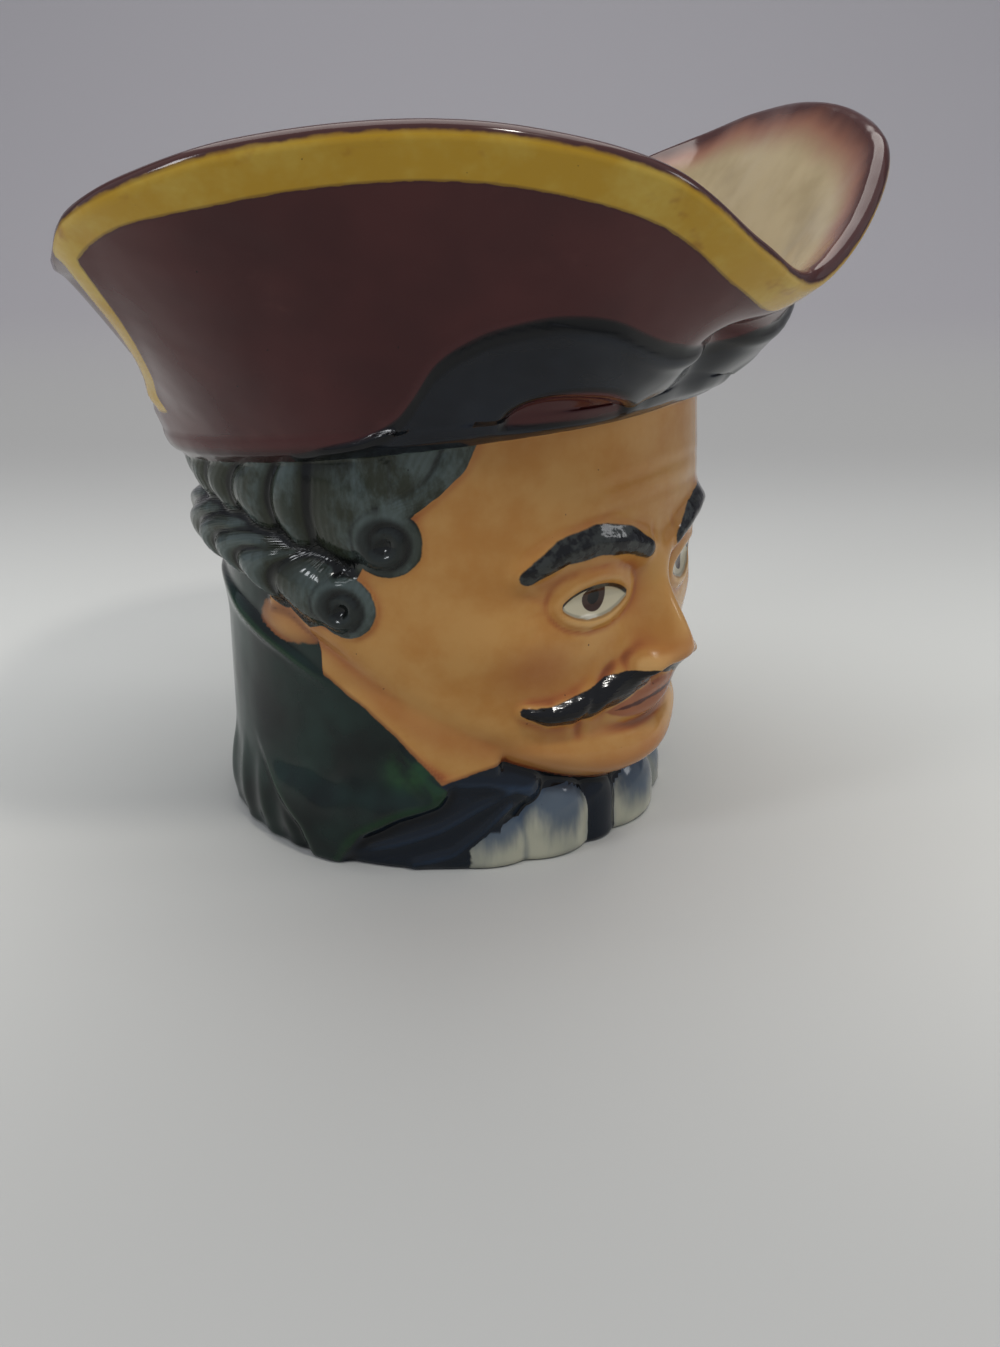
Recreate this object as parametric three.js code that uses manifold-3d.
// A slip-cast character jug: a gentleman's head in a three-cornered hat, cast hollow in one piece
// with its handle. Millimetres, Z up, the face looks toward -Y.
//
// Angles are degrees round the jug from the middle of the face, positive toward the figure's left.
// The skin of the jug is described by its distance from the upright axis at each angle and height.
import * as THREE from "three";
import { mergeVertices } from "three/addons/utils/BufferGeometryUtils.js";
import Module from "manifold-3d";

const DEGREE = Math.PI / 180;

// Centre of the whole jug's bounding box measured from the axis of the body.
const AXIS_Y = 5.81;
const AXIS_X = 0;

// How finely the jug is faceted.
const COLUMNS = 112;
const HANDLE_SIDES = 10;
const HANDLE_STEPS = 18;

// Walls and foot.
const BRIM_WALL = 4.6;
const NECK_INSIDE_RADIUS = 54.6;
const FLOOR_HEIGHT = 6.5;
const FOOT_EDGE_ROUND = 1.2;
const FOOT_RING_INSIDE = 46;
const RECESS_RADIUS = 44;
const RECESS_HEIGHT = 2.4;

// Angles are turned into millimetres round the jug with this radius.
const UNROLL_RADIUS = 58;
const MM_PER_DEGREE = UNROLL_RADIUS * DEGREE;

// Bottom edge of the hat: mean height and how much the hat tips back.
const HAT_BOTTOM_MEAN = 95.5;
const HAT_BOTTOM_TILT = 9.3;

// Rolled lower edge of the hat: [radius, height above the bottom edge].
const HAT_ROLL = [[62.6, 0], [65.2, 2], [66.6, 6]];

// Top of the brim: [angle, radius, height]; lowest at the pouring lip in front.
const BRIM_TOP = [
  [0, 93, 134.4], [14, 95.7, 142.6], [29, 99.2, 156.7], [44, 98.1, 163.4], [58, 98.1, 164.7],
  [73, 104, 161.5], [84, 107, 155.4], [93, 104.8, 149], [101, 98.5, 142], [112, 90, 137.5],
  [130, 86, 137], [155, 82, 143], [180, 80, 147],
];

// Front of the hat: a pinched fold under the lip with a swelling each side of it.
const LIP_FOLD = { depth: 6.5, halfAngle: 8, place: 0.3, reach: 0.3 };
const LIP_SWELL = { height: 2.8, angle: 25, halfAngle: 13, place: 0.2, reach: 0.28 };

const PANEL_SAG = 1.6;

// The side flaps end behind in a free edge that stands proud of the back panel.
const FLAP_STEP = 2.2;
const FLAP_DROP = 1.8;
const FLAP_EDGE = [[0.2, 120.5], [0.36, 114], [0.57, 106.8], [0.78, 102.6], [1, 99.9]];

// Eye mask pushed up on the hat: upper edge as [angle, height], thickness and arched eye hole.
const MASK_TOP = [
  [0, 118], [9, 119.6], [18, 121.8], [22.6, 123.8], [30, 128], [37, 129], [43, 127.4], [48, 125],
  [54, 119.6], [58, 112], [61, 107.6], [67, 103.4], [74, 101], [82, 98.4],
];
const MASK_THICKNESS = 1.5;
const MASK_TAIL = 82;
const MASK_EYE = { angle: 31.4, bottom: 105.8, middle: 106.6, halfWidth: 11.6, halfHeight: 7.4 };

// Head: distance from the axis at each height, in front and at the side.
const HEAD_FRONT = [
  [12, 55.5], [20, 58], [27, 58.2], [31, 57], [36, 57.8], [44, 58.2], [55, 59], [65, 58.8], [74, 60.4],
  [86, 61], [104, 60.2],
];
const HEAD_SIDE = [[20, 50.5], [34, 53], [44, 55], [56, 57.4], [72, 58.8], [88, 59.4], [104, 60.2]];

// Lower edge of the jaw: [angle, height], and how it turns under.
const JAW_LINE = [
  [0, 15.5], [11, 16.2], [20, 18.6], [30, 22], [40, 25], [50, 28], [58, 31], [65, 35.4], [73, 42],
  [82, 49.4], [95, 55],
];
const JAW_TURN = { depth: 9, reachFront: 7.5, reachSide: 13 };

// Face, laid out on the usual thirds: brow, base of the nose and chin a third of the face apart.
const BROW_HEIGHT = 73;
const EYE = { across: 19.5, height: 64, halfWidth: 9.2, halfOpening: 3.7, lidThickness: 1.1 };
const EYEBROW = [[6.5, 73.6], [13, 77.2], [21, 78.6], [29, 77], [36.5, 72]];
const NOSE_RIDGE = [
  [43, 0], [44.6, 5.2], [46.6, 9.6], [49, 11.2], [52, 10.4], [58, 7.2], [64, 4.2], [70, 2.6], [78, 0],
];
const NOSE_WIDTH = [[43, 8], [48, 8], [53, 6.6], [60, 5.2], [70, 5.4], [78, 7]];
const MOUTH = { height: 36, halfWidth: 16 };
const MOUSTACHE = [[2.5, 42.2], [8, 43], [15, 41.4], [23, 39], [30, 38.2], [36, 39.8]];

// Wig: two tiers of twisted curls. Edges as [angle, height]; the scroll is the front end. Grooves are
// the angles at a curl's lower edge where one lobe of the twist ends and the next begins.
const UPPER_CURL = {
  lower: [[60, 73], [67.4, 72], [73, 71.6], [83, 73.4], [90, 75.4], [105, 77.6], [125, 79], [180, 79.4]],
  upper: [[60, 96], [72, 104], [100, 103], [140, 100], [180, 99]],
  scroll: { angle: 65.4, height: 80, radius: 8.2 },
  height: 4.2,
  grooves: [64, 82.5, 90.5, 101.5, 112, 124, 138, 153, 168, 192],
};
const LOWER_CURL = {
  lower: [[70, 57.8], [80, 57.4], [85, 58], [90.6, 60], [100, 63], [111, 65.2], [130, 65.6], [180, 65.6]],
  upper: [[70, 71.4], [80, 76], [91.6, 79], [102.5, 81.6], [120, 83], [180, 83]],
  scroll: { angle: 75.2, height: 64.6, radius: 7.6 },
  height: 4,
  grooves: [74, 92, 101, 110.5, 121, 134, 148, 164, 196],
};
const LOBE_NOTCH = 0.26;
const LOBE_SCALLOP = 1.4;
const GROOVE_BOW = 12;
const GROOVE_LEAN = 20;
const HAIR_RADIUS = 58;
const CURL_CORE_RADIUS = 51;
const HAIR_FRONT = [
  [56, 88], [60, 80], [66, 74.5], [73, 71], [80, 66], [87, 63], [89, 58.7], [91.4, 54.8], [94, 51.5],
  [100, 48.5], [105, 46.5],
];
const HAIRLINE_STEP = 2.2;
const TEMPLE_LOCK = [[62, 87], [55.5, 92], [50.5, 97], [47, 105]];
const EAR_LOBE = { angle: 93, height: 57, halfWidth: 16, halfHeight: 7, swell: 3.4, radius: 51.6 };

// The least distance of the outside from the axis, so that the wall stays whole in every hollow.
const LEAST_RADIUS = 49;

// Coat: body silhouette, then the fold-over collar with its lapels.
const COAT_BODY = [
  [0, 54.2], [6.7, 55.2], [13.6, 54.6], [21.6, 52.6], [29.5, 50.6], [37.5, 49.6], [45.6, 50.6], [53.6, 52.2],
  [62, 53.5], [80, 55], [104, 55],
];
const COLLAR_OUTLINE = [
  [200, 62], [134, 60.8], [118, 58], [107.8, 55.4], [96, 51.6], [84, 46.2], [73, 39.4], [65.5, 33.2],
  [58, 25.6], [53, 20.8], [55.2, 16.8], [65.1, 13.4], [74.2, 8.4], [80, 0.6], [82, -8], [86, -8], [91.2, 6.9],
  [99.7, 13.4], [110.3, 22.9], [117, 31.7], [134, 33], [200, 33],
];
const COLLAR_THICKNESS = 2.2;
const COLLAR_LIP = [
  [200, 61], [134, 59.6], [108, 53.8], [96, 49.8], [84, 44.4], [73, 37.6], [62, 27.8], [55, 20.4],
];
const SHOULDER_FOLDS = [98, 108, 119, 132, 147, 163, 178];

// Cravat and the ruffle below it: ridges of cloth as [angle, height].
const CRAVAT_RADIUS = 50.6;
const CRAVAT_FOLDS = [
  [[-78, 3], [-66, 6.4], [-55, 10.5], [-46, 15.5], [-38, 19]],
  [[-62, 1.5], [-52, 4.2], [-45, 9.6], [-38, 16]],
  [[-54, 22], [-44, 21.6], [-33, 18.4]],
  [[78, 3], [64, 7.4], [52, 12], [40, 17.4]],
  [[66, 12], [50, 19.4], [36, 22.4]],
];
const RUFFLES = [
  { angle: -42, halfAngle: 11, top: 14, swell: 4.2 },
  { angle: -24.5, halfAngle: 11.5, top: 18, swell: 4.4 },
  { angle: 9, halfAngle: 15, top: 15.5, swell: 4.6 },
  { angle: 33, halfAngle: 13, top: 14, swell: 4.2 },
];
const TIE_STRIP = { angle: -9.5, halfAngle: 7, top: 18, swell: 3.4 };

// Loop handle on the far side: [distance from the axis, height] along its middle.
const HANDLE_ANGLE = 112;
const HANDLE_PATH = [[82, 103.5], [91.5, 94], [95.5, 79], [93, 60], [84.5, 44], [70, 34.5], [60, 31]];
const HANDLE_FOOT_HEIGHT = 29.5;
const HANDLE_TOP_PLACE = 0.3;
const HANDLE_HALF_WIDTH = 6.8;
const HANDLE_HALF_DEPTH = 4.6;
const HANDLE_SINK = 2.2;

// Rows of the outer skin from the foot to the hat, as heights at the front.
const BODY_ROWS = [
  1.2, 5, 9, 12.6, 15.6, 18.4, 21.6, 25.4, 29.2, 32.6, 35.6, 38.6, 41.4, 43.4, 45.4, 48, 51.4, 55.4, 59.6,
  63.6, 67.4, 71.4, 75.4, 79.6, 83.8, 88, 92.2, 96.6, 101, 104.2,
];
const PANEL_ROWS = [0.16, 0.32, 0.48, 0.66, 0.84, 1];
const INSIDE_PANEL_ROWS = [0.8, 0.6, 0.4, 0.2, 0];
const INSIDE_WALL = [
  [53.8, 84], [52.8, 72], [49.6, 62], [47.6, 54], [45, 42], [44.8, 26], [44.3, 11.5], [40, 7],
];

function clamp(value, low, high) {
  return Math.min(high, Math.max(low, value));
}

function smoothStep(low, high, value) {
  const part = clamp((value - low) / (high - low), 0, 1);
  return part * part * (3 - 2 * part);
}

function smoothMax(first, second, blend) {
  const share = clamp(0.5 + (0.5 * (first - second)) / blend, 0, 1);
  return second + (first - second) * share + blend * share * (1 - share);
}

// Smooth curve through the rows of a table; the first column is the position along it.
function along(table, position, column = 1) {
  const last = table.length - 1;
  if (position <= table[0][0]) {
    return table[0][column];
  }
  if (position >= table[last][0]) {
    return table[last][column];
  }
  let index = 0;
  while (position > table[index + 1][0]) {
    index += 1;
  }
  const slopeAt = (row) => {
    if (row === 0 || row === last) {
      return 0;
    }
    return (table[row + 1][column] - table[row - 1][column]) / (table[row + 1][0] - table[row - 1][0]);
  };
  const step = table[index + 1][0] - table[index][0];
  const part = (position - table[index][0]) / step;
  const part2 = part * part;
  const part3 = part2 * part;
  return (
    (2 * part3 - 3 * part2 + 1) * table[index][column] +
    (part3 - 2 * part2 + part) * step * slopeAt(index) +
    (3 * part2 - 2 * part3) * table[index + 1][column] +
    (part3 - part2) * step * slopeAt(index + 1)
  );
}

// Distance in millimetres from a place on the unrolled jug to a line of [angle, height] points.
function lineDistance(line, angle, height, closed = false) {
  let nearest = Infinity;
  let place = 0;
  const count = closed ? line.length : line.length - 1;
  for (let index = 0; index < count; index += 1) {
    const [angleA, heightA] = line[index];
    const [angleB, heightB] = line[(index + 1) % line.length];
    const runX = (angleB - angleA) * MM_PER_DEGREE;
    const runY = heightB - heightA;
    const fromX = (angle - angleA) * MM_PER_DEGREE;
    const fromY = height - heightA;
    const part = clamp((fromX * runX + fromY * runY) / (runX * runX + runY * runY), 0, 1);
    const gap = Math.hypot(fromX - part * runX, fromY - part * runY);
    if (gap < nearest) {
      nearest = gap;
      place = (index + part) / count;
    }
  }
  return { gap: nearest, place };
}

// Distance to a closed outline, positive inside it.
function depthInside(outline, angle, height) {
  let inside = false;
  for (let index = 0; index < outline.length; index += 1) {
    const [angleA, heightA] = outline[index];
    const [angleB, heightB] = outline[(index + 1) % outline.length];
    if (heightA > height !== heightB > height) {
      const crossing = angleA + ((angleB - angleA) * (height - heightA)) / (heightB - heightA);
      if (angle < crossing) {
        inside = !inside;
      }
    }
  }
  const { gap } = lineDistance(outline, angle, height, true);
  return inside ? gap : -gap;
}

function softBump(across, up, halfWidth, halfHeight) {
  return Math.exp(-((across / halfWidth) ** 2) - (up / halfHeight) ** 2);
}

function domeBump(across, up, halfWidth, halfHeight) {
  const reach = (across / halfWidth) ** 2 + (up / halfHeight) ** 2;
  return reach < 1 ? Math.sqrt(1 - reach) : 0;
}

function ridge(line, angle, height, halfWidth, sharpness = 2) {
  return Math.exp(-((lineDistance(line, angle, height).gap / halfWidth) ** sharpness));
}

function hatBottom(angle) {
  return HAT_BOTTOM_MEAN + HAT_BOTTOM_TILT * Math.cos(angle * DEGREE);
}

function behindHairline(turn, height) {
  return (turn - along(HAIR_FRONT, height)) * MM_PER_DEGREE;
}

function skinRadius(turn, height) {
  const across = turn * MM_PER_DEGREE;
  const toSide = smoothStep(18, 72, turn);
  let radius = along(HEAD_FRONT, height) * (1 - toSide) + along(HEAD_SIDE, height) * toSide;
  radius += 2.2 * softBump(across, height - 22, 15, 7.5);
  radius += 1.5 * softBump(across - 36, height - 55, 13, 9);
  radius += 1.6 * softBump(across - 19, height - BROW_HEIGHT - 1.4, 13, 3.6);
  radius -= 3.4 * softBump(across - EYE.across, height - EYE.height, 10.5, 6);
  const eyeAcross = (across - EYE.across) / EYE.halfWidth;
  const opening = EYE.halfOpening * clamp(1 - eyeAcross ** 2, 0, 1) ** 0.8;
  const insideLids = opening - Math.abs(height - EYE.height + 0.4);
  radius += 3.6 * domeBump(across - EYE.across, height - EYE.height - 0.6, 12, 7.6);
  radius -= EYE.lidThickness * smoothStep(-0.3, 0.5, insideLids) * (Math.abs(eyeAcross) < 1 ? 1 : 0);
  radius += 1.8 * ridge(EYEBROW, turn, height, 3);
  const noseWidth = along(NOSE_WIDTH, height);
  radius += along(NOSE_RIDGE, height) * Math.exp(-((across / noseWidth) ** 2));
  radius += 4.2 * softBump(across - 7.4, height - 46.6, 3.6, 3.2);
  const lips = clamp(1 - (across / MOUTH.halfWidth) ** 2, 0, 1);
  radius += 2.1 * lips * Math.exp(-(((height - MOUTH.height - 0.6 - 1.8 * lips) / 2) ** 2));
  radius += 2.7 * lips * Math.exp(-(((height - MOUTH.height + 0.6 + 2 * lips) / 2.3) ** 2));
  radius += 1.2 * softBump(across, height - 40, 17, 5);
  const hairs = lineDistance(MOUSTACHE, turn, height);
  radius += 2.6 * Math.exp(-((hairs.gap / (1.1 + 2.7 * Math.sin(Math.PI * hairs.place ** 0.8))) ** 3));
  radius -= HAIRLINE_STEP * smoothStep(0, 4, behindHairline(turn, height)) * smoothStep(56, 64, height);
  const reach = JAW_TURN.reachFront + (JAW_TURN.reachSide - JAW_TURN.reachFront) * smoothStep(25, 60, turn);
  const aboveJaw = clamp((height - along(JAW_LINE, turn)) / reach, 0, 1);
  return radius - JAW_TURN.depth * (1 - Math.sqrt(1 - (1 - aboveJaw) ** 2));
}

// How full a lobe of the twist is at a place: 1 along its middle and 0 in the grooves beside it. The
// grooves bow backward and lean forward higher up, more so toward the back of the head.
function lobeSwell(curl, turn, share) {
  const grooves = curl.grooves.map((groove) => (
    groove + smoothStep(80, 105, groove) * (GROOVE_BOW * Math.sin(Math.PI * share) - GROOVE_LEAN * share)));
  for (let index = 0; index + 1 < grooves.length; index += 1) {
    if (turn >= grooves[index] && turn < grooves[index + 1]) {
      const across = (turn - grooves[index]) / (grooves[index + 1] - grooves[index]);
      return Math.sin(Math.PI * (index > 0 ? across : (1 + across) / 2)) ** 0.6;
    }
  }
  return 0;
}

// One tier of curls: a rolled lock twisted into lobes that ends in front in a scroll.
function curlRadius(curl, turn, height) {
  const high = along(curl.upper, turn);
  const low = along(curl.lower, turn) + LOBE_SCALLOP * (1 - lobeSwell(curl, turn, 0));
  const share = (height - low) / (high - low);
  const fromScroll = (turn - curl.scroll.angle) * MM_PER_DEGREE;
  let roll = 0;
  if (share > 0 && share < 1 && fromScroll > 0) {
    const notch = LOBE_NOTCH * (1 - lobeSwell(curl, turn, share));
    roll = (1 - Math.abs(2 * share - 1) ** 2.4) ** 0.5 * (1 - notch);
  }
  const fromCentre = Math.hypot(fromScroll, height - curl.scroll.height) / curl.scroll.radius;
  let scroll = 0;
  if (fromCentre < 1) {
    scroll = 1.15 * Math.sqrt(1 - fromCentre ** 4) - 0.6 * Math.exp(-((fromCentre / 0.42) ** 2));
  }
  return CURL_CORE_RADIUS + (HAIR_RADIUS - CURL_CORE_RADIUS + curl.height) * Math.max(roll, scroll);
}

function hairRadius(turn, height) {
  const covering = smoothStep(-1, 2, behindHairline(turn, height)) * smoothStep(66, 74, height);
  const temple = smoothStep(80, 68, turn) * smoothStep(82, 88, height);
  const lying = CURL_CORE_RADIUS + (HAIR_RADIUS - 1.5 + 5 * temple - CURL_CORE_RADIUS) * covering;
  const lock = HAIR_RADIUS - 4 + 7.2 * ridge(TEMPLE_LOCK, turn, height, 3.4, 3);
  return Math.max(lying, lock, curlRadius(UPPER_CURL, turn, height), curlRadius(LOWER_CURL, turn, height));
}

function collarRadius(turn, height) {
  const depth = depthInside(COLLAR_OUTLINE, turn, height);
  const body = along(COAT_BODY, height);
  let sheet = COLLAR_THICKNESS * smoothStep(-0.9, 0.9, depth);
  sheet += 2 * ridge(COLLAR_LIP, turn, height, 2.4) * smoothStep(130, 104, turn);
  sheet -= 1.1 * softBump((turn - 95) * MM_PER_DEGREE, height - 25, 6, 5);
  sheet -= 0.9 * softBump((turn - 84) * MM_PER_DEGREE, height - 21, 4, 5);
  if (depth < 0 && height < 33) {
    for (const fold of SHOULDER_FOLDS) {
      const leaning = fold + 0.25 * (height - 15);
      sheet += 0.9 * Math.exp(-((((turn - leaning) * MM_PER_DEGREE) / 3) ** 2));
    }
  }
  return body + sheet;
}

function neckclothRadius(angle, height) {
  let radius = CRAVAT_RADIUS + 1.5 * smoothStep(16, 4, height);
  for (const fold of CRAVAT_FOLDS) {
    radius = smoothMax(radius, CRAVAT_RADIUS - 1 + 5 * ridge(fold, angle, height, 4.6), 1);
  }
  for (const piece of [...RUFFLES, TIE_STRIP]) {
    const across = (angle - piece.angle) / piece.halfAngle;
    const up = clamp((height - piece.top + 10) / 10, 0, 1);
    const reach = across ** 2 + up ** 2;
    if (reach < 1) {
      radius = smoothMax(radius, CRAVAT_RADIUS + piece.swell * (1 - reach) ** 0.6, 0.7);
    }
  }
  return radius;
}

// Distance from the axis to the outer skin below the hat.
function bodyRadius(angle, height) {
  const turn = Math.abs(angle);
  const collarTurn = angle > 0 ? turn + 9 * smoothStep(80, 50, turn) : turn;
  let radius = LEAST_RADIUS;
  if (turn < 100) {
    radius = Math.max(radius, skinRadius(turn, height));
  }
  if (turn > 40) {
    const lobe = domeBump((turn - EAR_LOBE.angle) * MM_PER_DEGREE, height - EAR_LOBE.height,
      EAR_LOBE.halfWidth, EAR_LOBE.halfHeight);
    if (lobe > 0) {
      radius = smoothMax(radius, EAR_LOBE.radius + EAR_LOBE.swell * lobe, 0.6);
    }
    radius = smoothMax(radius, hairRadius(turn, height), 0.8);
    if (height < 66) {
      const covers = turn > 84 || depthInside(COLLAR_OUTLINE, collarTurn, height) > -0.9;
      if (covers) {
        radius = smoothMax(radius, collarRadius(collarTurn, height), 0.8);
      }
    }
  }
  if (turn < 84 && height < 30) {
    radius = smoothMax(radius, neckclothRadius(angle, height), 0.8);
  }
  return radius;
}

// Straight panel of the hat at one angle: foot, top, direction up the panel and inward normal.
function panelFrame(angle) {
  const turn = Math.abs(angle);
  const bottom = hatBottom(angle);
  const foot = [HAT_ROLL[2][0], bottom + HAT_ROLL[2][1]];
  const top = [along(BRIM_TOP, turn, 1), along(BRIM_TOP, turn, 2)];
  const length = Math.hypot(top[0] - foot[0], top[1] - foot[1]);
  const up = [(top[0] - foot[0]) / length, (top[1] - foot[1]) / length];
  const inward = [-up[1], up[0]];
  return { foot, top, up, inward, length };
}

// How deep a place lies inside the mask's edge; the eye hole is outside it.
function maskCover(turn, height) {
  const edge = along(MASK_TOP, turn) - height;
  const tail = (MASK_TAIL - turn) * MM_PER_DEGREE;
  const eyeAcross = (turn - MASK_EYE.angle) / MASK_EYE.halfWidth;
  const eyeUp = (height - MASK_EYE.middle) / MASK_EYE.halfHeight;
  const arch = (Math.hypot(eyeAcross, eyeUp) - 1) * MASK_EYE.halfHeight;
  return Math.min(edge, tail, Math.max(arch, MASK_EYE.bottom - height));
}

// How far the middle of the wall bows out from the panel's straight line.
function panelBow(angle, place) {
  const turn = Math.abs(angle);
  const sag = PANEL_SAG * Math.sin(Math.PI * place) * smoothStep(30, 50, turn);
  const fold = LIP_FOLD.depth * Math.exp(-((turn / LIP_FOLD.halfAngle) ** 2))
    * Math.exp(-(((place - LIP_FOLD.place) / LIP_FOLD.reach) ** 2));
  const swell = LIP_SWELL.height * Math.exp(-(((turn - LIP_SWELL.angle) / LIP_SWELL.halfAngle) ** 2))
    * Math.exp(-(((place - LIP_SWELL.place) / LIP_SWELL.reach) ** 2));
  const edge = along(FLAP_EDGE, place);
  const drop = FLAP_DROP * smoothStep(edge, edge + 5, turn) * smoothStep(edge + 30, edge + 12, turn);
  return swell - fold - sag - drop * betweenEnds(place);
}

// 1 along the middle of a panel's height and 0 at its foot and its rim.
function betweenEnds(place) {
  return smoothStep(0.1, 0.25, place) * smoothStep(1, 0.9, place);
}

// How far the outside stands out beyond that: the mask's thickness and the step behind each flap.
function panelRelief(angle, place, height) {
  const turn = Math.abs(angle);
  const edge = along(FLAP_EDGE, place);
  const step = FLAP_STEP * smoothStep(edge - 1.5, edge + 1.5, turn) * smoothStep(edge + 22, edge + 4, turn)
    * betweenEnds(place);
  return panelBow(angle, place) - step
    + MASK_THICKNESS * smoothStep(-0.7, 0.7, maskCover(turn, height));
}

function outsideOfPanel(angle, place) {
  const { foot, top, up, inward, length } = panelFrame(angle);
  const reach = place * (length - BRIM_WALL / 2);
  const half = (BRIM_WALL / 2) * place;
  const height = foot[1] + up[1] * reach;
  const out = panelRelief(angle, place, height) + half;
  return [foot[0] + up[0] * reach - inward[0] * out, height - inward[1] * out];
}

function insideOfPanel(angle, place) {
  const { foot, up, inward, length } = panelFrame(angle);
  const reach = place * (length - BRIM_WALL / 2);
  const half = BRIM_WALL - (BRIM_WALL / 2) * place - panelBow(angle, place);
  return [foot[0] + up[0] * reach + inward[0] * half, foot[1] + up[1] * reach + inward[1] * half];
}

// Column angles, closer together over the face and the locks than at the back.
function columnAngles(count) {
  const samples = 1440;
  const weight = (angle) => 1 + 0.95 * Math.exp(-((angle / 44) ** 2))
    + 0.25 * Math.exp(-(((Math.abs(angle) - 84) / 30) ** 2));
  const sums = [0];
  for (let index = 0; index < samples; index += 1) {
    sums.push(sums[index] + weight(-180 + (360 * (index + 0.5)) / samples));
  }
  const angles = [];
  let index = 0;
  for (let column = 0; column < count; column += 1) {
    const wanted = (sums[samples] * column) / count;
    while (sums[index + 1] < wanted) {
      index += 1;
    }
    const part = (wanted - sums[index]) / (sums[index + 1] - sums[index]);
    angles.push(-180 + (360 * (index + part)) / samples);
  }
  return angles;
}

function place3d(angle, radius, height) {
  return [
    AXIS_X + radius * Math.sin(angle * DEGREE),
    AXIS_Y - radius * Math.cos(angle * DEGREE),
    height,
  ];
}

// Rings of points, joined one to the next; a ring may have half the points of the ring before it.
function buildJugMesh() {
  const angles = columnAngles(COLUMNS);
  const halfAngles = angles.filter((angle, index) => index % 2 === 0);
  const quarterAngles = angles.filter((angle, index) => index % 4 === 0);
  const rings = [];
  const addRing = (ringAngles, pointAt) => {
    rings.push(ringAngles.map((angle) => {
      const [radius, height] = pointAt(angle);
      return place3d(angle, radius, height);
    }));
  };

  addRing(quarterAngles, () => [RECESS_RADIUS, RECESS_HEIGHT]);
  addRing(halfAngles, () => [FOOT_RING_INSIDE, 0]);
  addRing(angles, (angle) => [bodyRadius(angle, FOOT_EDGE_ROUND) - FOOT_EDGE_ROUND, 0]);
  for (const row of BODY_ROWS) {
    addRing(angles, (angle) => {
      const height = (row / (HAT_BOTTOM_MEAN + HAT_BOTTOM_TILT)) * hatBottom(angle);
      return [bodyRadius(angle, height), height];
    });
  }
  for (const [radius, rise] of HAT_ROLL) {
    addRing(angles, (angle) => {
      const height = hatBottom(angle) + rise;
      const relief = panelRelief(angle, 0, height) * (0.35 + 0.65 * rise / HAT_ROLL[2][1]);
      return [radius + relief, height];
    });
  }
  for (const place of PANEL_ROWS) {
    addRing(halfAngles, (angle) => outsideOfPanel(angle, place));
  }
  addRing(halfAngles, (angle) => panelFrame(angle).top);
  addRing(halfAngles, (angle) => insideOfPanel(angle, 1));
  for (const place of INSIDE_PANEL_ROWS) {
    addRing(quarterAngles, (angle) => insideOfPanel(angle, place));
  }
  addRing(quarterAngles, (angle) => [NECK_INSIDE_RADIUS, hatBottom(angle) - 1]);
  for (const [radius, height] of INSIDE_WALL) {
    addRing(quarterAngles, () => [radius, height]);
  }

  const positions = [];
  const starts = [];
  for (const ring of rings) {
    starts.push(positions.length / 3);
    ring.forEach((point) => positions.push(...point));
  }
  const triangles = [];
  for (let index = 0; index + 1 < rings.length; index += 1) {
    const next = index + 1;
    joinRings(triangles, positions, rings[index].length, starts[index], rings[next].length, starts[next]);
  }
  const bottomCentre = positions.length / 3;
  positions.push(...place3d(0, 0, RECESS_HEIGHT));
  const floorCentre = positions.length / 3;
  positions.push(...place3d(0, 0, FLOOR_HEIGHT));
  const lastRing = rings.length - 1;
  for (let column = 0; column < quarterAngles.length; column += 1) {
    const next = (column + 1) % quarterAngles.length;
    triangles.push(bottomCentre, starts[0] + next, starts[0] + column);
    triangles.push(floorCentre, starts[lastRing] + column, starts[lastRing] + next);
  }
  return { positions, triangles };
}

function joinRings(triangles, positions, countA, startA, countB, startB) {
  const gap = (first, second) => Math.hypot(...[0, 1, 2].map((axis) => (
    positions[first * 3 + axis] - positions[second * 3 + axis])));
  const count = Math.max(countA, countB);
  const strideA = countA / count;
  const strideB = countB / count;
  for (let column = 0; column < count; column += 1) {
    const a0 = startA + Math.floor((column * strideA + (strideA < 1 ? 0.5 : 0)) % countA);
    const a1 = startA + (Math.floor((column + 1) * strideA + (strideA < 1 ? 0.5 : 0)) % countA);
    const b0 = startB + Math.floor((column * strideB + (strideB < 1 ? 0.5 : 0)) % countB);
    const b1 = startB + (Math.floor((column + 1) * strideB + (strideB < 1 ? 0.5 : 0)) % countB);
    if (a0 !== a1 && b0 !== b1 && gap(a1, b0) < gap(a0, b1)) {
      triangles.push(a0, a1, b0, a1, b1, b0);
      continue;
    }
    if (a0 !== a1) {
      triangles.push(a0, a1, b1);
    }
    if (b0 !== b1) {
      triangles.push(a0, b1, b0);
    }
  }
}

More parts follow.
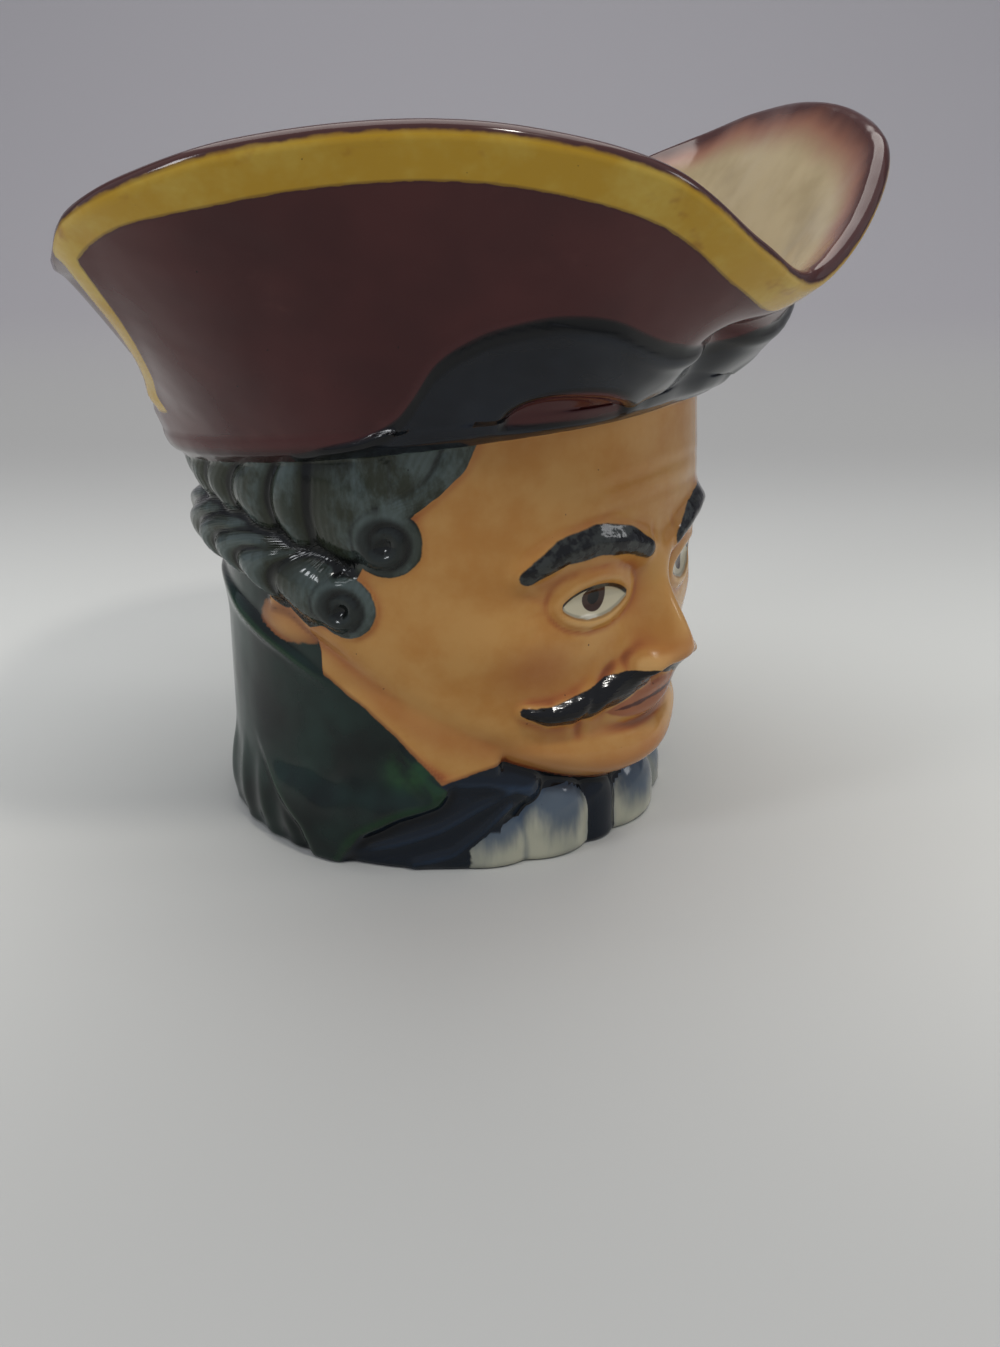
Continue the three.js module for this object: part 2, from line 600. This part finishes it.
// Closed oval bar along the handle's middle line, flared where it meets the jug.
function buildHandleMesh() {
  const panelPoint = outsideOfPanel(HANDLE_ANGLE, HANDLE_TOP_PLACE);
  const { inward } = panelFrame(HANDLE_ANGLE);
  const footRadius = bodyRadius(HANDLE_ANGLE, HANDLE_FOOT_HEIGHT) - HANDLE_SINK;
  const start = [panelPoint[0] + inward[0] * HANDLE_SINK, panelPoint[1] + inward[1] * HANDLE_SINK];
  const nearStart = [panelPoint[0] - inward[0] * 3, panelPoint[1] - inward[1] * 3];
  const points = [start, nearStart, ...HANDLE_PATH, [footRadius, HANDLE_FOOT_HEIGHT]];
  const curve = new THREE.CatmullRomCurve3(
    points.map(([radius, height]) => new THREE.Vector3(radius, height, 0)), false, "centripetal");
  const positions = [];
  const triangles = [];
  for (let step = 0; step <= HANDLE_STEPS; step += 1) {
    const part = step / HANDLE_STEPS;
    const middle = curve.getPointAt(part);
    const direction = curve.getTangentAt(part);
    const flare = 1 + 0.4 * Math.exp(-((part / 0.06) ** 2)) + 0.4 * Math.exp(-(((1 - part) / 0.06) ** 2));
    for (let side = 0; side < HANDLE_SIDES; side += 1) {
      const swing = (2 * Math.PI * side) / HANDLE_SIDES;
      const depth = HANDLE_HALF_DEPTH * flare * Math.cos(swing);
      const width = HANDLE_HALF_WIDTH * flare * Math.sin(swing);
      const radius = middle.x - direction.y * depth;
      const height = middle.y + direction.x * depth;
      const [x, y, z] = place3d(HANDLE_ANGLE, radius, height);
      const turn = HANDLE_ANGLE * DEGREE;
      positions.push(x + width * Math.cos(turn), y + width * Math.sin(turn), z);
    }
  }
  for (let step = 0; step < HANDLE_STEPS; step += 1) {
    for (let side = 0; side < HANDLE_SIDES; side += 1) {
      const next = (side + 1) % HANDLE_SIDES;
      const here = step * HANDLE_SIDES;
      const ahead = here + HANDLE_SIDES;
      triangles.push(here + side, here + next, ahead + next, here + side, ahead + next, ahead + side);
    }
  }
  const endStart = HANDLE_STEPS * HANDLE_SIDES;
  for (let side = 1; side + 1 < HANDLE_SIDES; side += 1) {
    triangles.push(0, side + 1, side, endStart, endStart + side, endStart + side + 1);
  }
  return { positions, triangles };
}

function signedVolume({ positions, triangles }) {
  let total = 0;
  for (let index = 0; index < triangles.length; index += 3) {
    const [a, b, c] = [0, 1, 2].map((corner) => {
      const start = triangles[index + corner] * 3;
      return new THREE.Vector3(positions[start], positions[start + 1], positions[start + 2]);
    });
    total += a.dot(b.cross(c)) / 6;
  }
  return total;
}

const wasm = await Module();
wasm.setup();

function solidFrom(mesh) {
  const triangles = [...mesh.triangles];
  if (signedVolume(mesh) < 0) {
    for (let index = 0; index < triangles.length; index += 3) {
      [triangles[index + 1], triangles[index + 2]] = [triangles[index + 2], triangles[index + 1]];
    }
  }
  return new wasm.Manifold(new wasm.Mesh({
    numProp: 3,
    vertProperties: new Float32Array(mesh.positions),
    triVerts: new Uint32Array(triangles),
  }));
}

function geometryFrom(solid) {
  const mesh = solid.getMesh();
  let geometry = new THREE.BufferGeometry();
  geometry.setAttribute("position", new THREE.BufferAttribute(new Float32Array(mesh.vertProperties), 3));
  geometry.setIndex(new THREE.BufferAttribute(new Uint32Array(mesh.triVerts), 1));
  geometry = mergeVertices(geometry, 1e-4);
  geometry.computeVertexNormals();
  return geometry;
}

const jugSolid = solidFrom(buildJugMesh()).add(solidFrom(buildHandleMesh()));
const jug = new THREE.Mesh(
  geometryFrom(jugSolid),
  new THREE.MeshStandardMaterial({ color: 0x4a2526, roughness: 0.18, metalness: 0 }),
);
jug.name = "jug";

const group = new THREE.Group();
group.name = "character_jug";
group.add(jug);

export default group;
